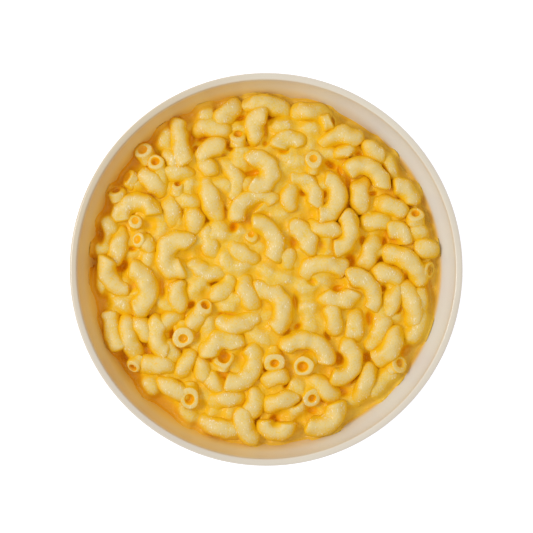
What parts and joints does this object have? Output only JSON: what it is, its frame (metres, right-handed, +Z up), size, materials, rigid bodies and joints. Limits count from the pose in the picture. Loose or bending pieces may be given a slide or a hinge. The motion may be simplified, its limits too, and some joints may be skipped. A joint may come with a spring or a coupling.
{
  "type": "mac and cheese",
  "caption": "Macaroni elbows half sunk in a thick cheese sauce, filling a round shallow bowl of light glazed stoneware to just below its rim.",
  "frame": {"origin": "on the table under the middle of the bowl's foot ring", "axes": "+Z up out of the bowl, -Y towards the eater, +X to the eater's right"},
  "size_m": [0.186, 0.186, 0.056],
  "materials": {
    "glazed_stoneware": "satin glaze",
    "cheese_pasta": "moist, soft sheen"
  },
  "bodies": {
    "root": {"bowl": "glazed_stoneware", "macaroni": "cheese_pasta"}
  },
  "joints": []
}
